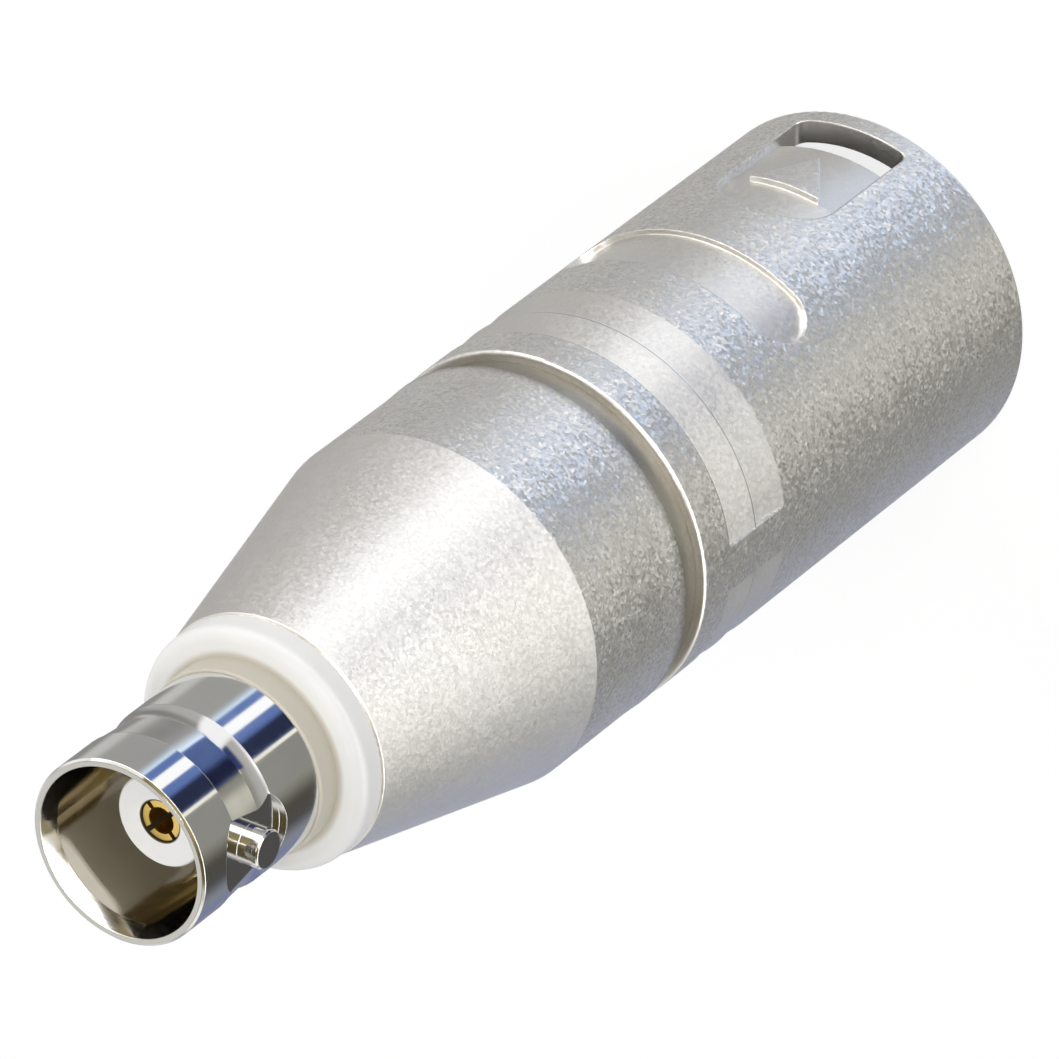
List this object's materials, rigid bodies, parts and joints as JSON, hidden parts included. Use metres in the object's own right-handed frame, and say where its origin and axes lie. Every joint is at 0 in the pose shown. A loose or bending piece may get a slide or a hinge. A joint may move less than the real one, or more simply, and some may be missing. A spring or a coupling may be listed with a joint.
{
  "type": "bnc to xlr adapter",
  "caption": "Rigid in-line adapter with a bayonet coaxial jack at one end and a three-pole male audio plug at the other, joined by a small impedance transformer.",
  "frame": {"origin": "centre of the XLR mouth rim, the surface that the adapter stands on", "axes": "+Z along the axis towards the BNC jack, -Y towards the latch window, +X towards XLR pin 2"},
  "size_m": [0.019, 0.019, 0.064],
  "materials": {
    "satin_nickel": "satin nickel plate with a fine grain",
    "bright_nickel": "bright nickel plate",
    "gold_plate": "gold plate",
    "silver_plate": "silver plate",
    "white_insulator": "satin white",
    "black_insulator": "satin black",
    "spring_steel": "plated spring steel",
    "board_laminate": "green laminate",
    "ferrite": "matt dark grey",
    "copper_wire": "enamelled copper",
    "tinned_wire": "tinned copper",
    "sleeve_film": "plain film"
  },
  "bodies": {
    "root": {"xlr_shell": "satin_nickel", "rear_shell": "satin_nickel", "xlr_insert": "black_insulator", "xlr_pin_1": "silver_plate", "xlr_pin_2": "silver_plate", "xlr_pin_3": "silver_plate", "ground_leaf": "spring_steel", "insulator_ring": "white_insulator", "insulator_bush": "white_insulator", "bnc_body": "bright_nickel", "bnc_dielectric": "white_insulator", "bnc_rear_bush": "white_insulator", "bnc_contact": "gold_plate", "ground_tag": "tinned_wire", "lock_washer": "spring_steel", "bnc_nut": "bright_nickel", "circuit_board": "board_laminate", "transformer_base": "black_insulator", "transformer_core": "ferrite", "primary_winding": "copper_wire", "secondary_winding": "copper_wire", "centre_lead": "tinned_wire", "ground_lead": "tinned_wire", "insulating_sleeve": "sleeve_film"}
  },
  "joints": []
}
